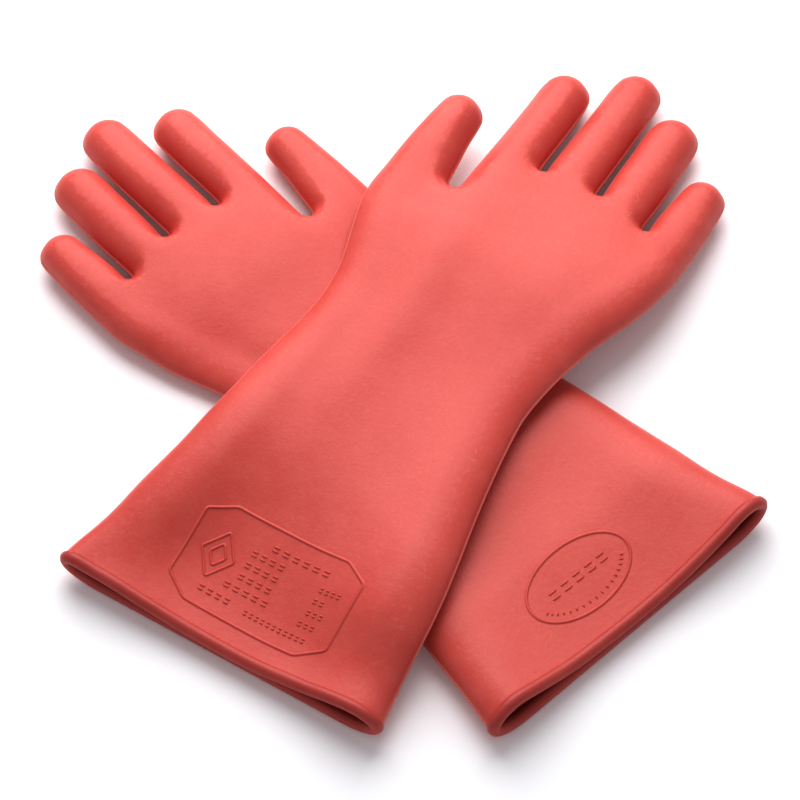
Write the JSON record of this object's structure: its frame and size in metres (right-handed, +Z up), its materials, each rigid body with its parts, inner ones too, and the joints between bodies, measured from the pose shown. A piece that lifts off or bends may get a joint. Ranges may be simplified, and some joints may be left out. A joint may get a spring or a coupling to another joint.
{
  "type": "electrical insulating gloves",
  "caption": "Pair of long-cuffed moulded rubber insulating gloves laid crossed, with rolled cuff beads, bending fingers and wrist, and raised rating panel and badge.",
  "frame": {"origin": "on the surface the gloves lie on, below the centre of the pair's bounding box", "axes": "+Z up from the surface; +Y along the upper glove from its cuff to its fingertips; +X to the upper glove's little-finger side. The lower glove points about 71 degrees anticlockwise from +Y."},
  "size_m": [0.4062, 0.3918, 0.0358],
  "materials": {
    "rubber_skin": "semi-matte moulded rubber",
    "rolled_bead": "semi-matte moulded rubber, rolled edge",
    "raised_marks": "semi-matte moulded rubber, raised lines"
  },
  "bodies": {
    "lower_glove": {"lower_gauntlet": "rubber_skin", "lower_cuff_bead": "rolled_bead", "lower_wrist_band": "rubber_skin", "lower_palm": "rubber_skin", "lower_knuckle_web": "rubber_skin", "lower_thumb_root": "rubber_skin", "lower_index_root": "rubber_skin", "lower_middle_root": "rubber_skin", "lower_ring_root": "rubber_skin", "lower_little_root": "rubber_skin", "lower_badge_oval": "raised_marks", "lower_badge_lines": "raised_marks"},
    "upper_cuff": {"upper_gauntlet": "rubber_skin", "upper_cuff_bead": "rolled_bead", "upper_wrist_band": "rubber_skin", "upper_rating_panel": "raised_marks", "upper_panel_emblem": "raised_marks", "upper_panel_lines": "raised_marks"},
    "upper_hand": {"upper_palm": "rubber_skin", "upper_knuckle_web": "rubber_skin", "upper_thumb_root": "rubber_skin", "upper_index_root": "rubber_skin", "upper_middle_root": "rubber_skin", "upper_ring_root": "rubber_skin", "upper_little_root": "rubber_skin"},
    "upper_thumb": {"upper_thumb_stall": "rubber_skin"},
    "upper_index": {"upper_index_stall": "rubber_skin"},
    "upper_middle": {"upper_middle_stall": "rubber_skin"},
    "upper_ring": {"upper_ring_stall": "rubber_skin"},
    "upper_little": {"upper_little_stall": "rubber_skin"},
    "lower_thumb": {"lower_thumb_stall": "rubber_skin"},
    "lower_index": {"lower_index_stall": "rubber_skin"},
    "lower_middle": {"lower_middle_stall": "rubber_skin"},
    "lower_ring": {"lower_ring_stall": "rubber_skin"},
    "lower_little": {"lower_little_stall": "rubber_skin"}
  },
  "joints": [
    {"name": "upper_lift", "type": "slide", "parent": "lower_glove", "child": "upper_cuff", "axis": [0, 0, 1], "range_m": [0, 0.15]},
    {"name": "upper_wrist", "type": "hinge", "parent": "upper_cuff", "child": "upper_hand", "pos_m": [0.01875, -0.0001, 0.0244], "axis": [1, 0, 0], "range_deg": [0, 40], "deforming": ["upper_wrist_band"]},
    {"name": "upper_thumb_curl", "type": "hinge", "parent": "upper_hand", "child": "upper_thumb", "pos_m": [-0.03625, 0.0869, 0.02464], "axis": [1, 0, 0], "range_deg": [0, 60], "stiffness_Nm_per_rad": 0.15, "deforming": ["upper_thumb_root"]},
    {"name": "upper_index_curl", "type": "hinge", "parent": "upper_hand", "child": "upper_index", "pos_m": [-0.00075, 0.1259, 0.01339], "axis": [1, 0, 0], "range_deg": [0, 60], "stiffness_Nm_per_rad": 0.15, "deforming": ["upper_index_root"]},
    {"name": "upper_middle_curl", "type": "hinge", "parent": "upper_hand", "child": "upper_middle", "pos_m": [0.0295, 0.1259, 0.01339], "axis": [1, 0, 0], "range_deg": [0, 60], "stiffness_Nm_per_rad": 0.15, "deforming": ["upper_middle_root"]},
    {"name": "upper_ring_curl", "type": "hinge", "parent": "upper_hand", "child": "upper_ring", "pos_m": [0.06015, 0.1259, 0.01339], "axis": [1, 0, 0], "range_deg": [0, 60], "stiffness_Nm_per_rad": 0.15, "deforming": ["upper_ring_root"]},
    {"name": "upper_little_curl", "type": "hinge", "parent": "upper_hand", "child": "upper_little", "pos_m": [0.08905, 0.1259, 0.01339], "axis": [1, 0, 0], "range_deg": [0, 60], "stiffness_Nm_per_rad": 0.15, "deforming": ["upper_little_root"]},
    {"name": "lower_thumb_curl", "type": "hinge", "parent": "lower_glove", "child": "lower_thumb", "pos_m": [-0.07748, 0.05484, 0.00983], "axis": [0.3223, 0.9466, 0], "range_deg": [0, 60], "stiffness_Nm_per_rad": 0.15, "deforming": ["lower_thumb_root"]},
    {"name": "lower_index_curl", "type": "hinge", "parent": "lower_glove", "child": "lower_index", "pos_m": [-0.12584, 0.0338, 0.0105], "axis": [0.3223, 0.9466, 0], "range_deg": [0, 60], "stiffness_Nm_per_rad": 0.15, "deforming": ["lower_index_root"]},
    {"name": "lower_middle_curl", "type": "hinge", "parent": "lower_glove", "child": "lower_middle", "pos_m": [-0.13559, 0.00517, 0.0105], "axis": [0.3223, 0.9466, 0], "range_deg": [0, 60], "stiffness_Nm_per_rad": 0.15, "deforming": ["lower_middle_root"]},
    {"name": "lower_ring_curl", "type": "hinge", "parent": "lower_glove", "child": "lower_ring", "pos_m": [-0.14547, -0.02385, 0.0105], "axis": [0.3223, 0.9466, 0], "range_deg": [0, 60], "stiffness_Nm_per_rad": 0.15, "deforming": ["lower_ring_root"]},
    {"name": "lower_little_curl", "type": "hinge", "parent": "lower_glove", "child": "lower_little", "pos_m": [-0.15478, -0.05121, 0.0105], "axis": [0.3223, 0.9466, 0], "range_deg": [0, 60], "stiffness_Nm_per_rad": 0.15, "deforming": ["lower_little_root"]}
  ]
}
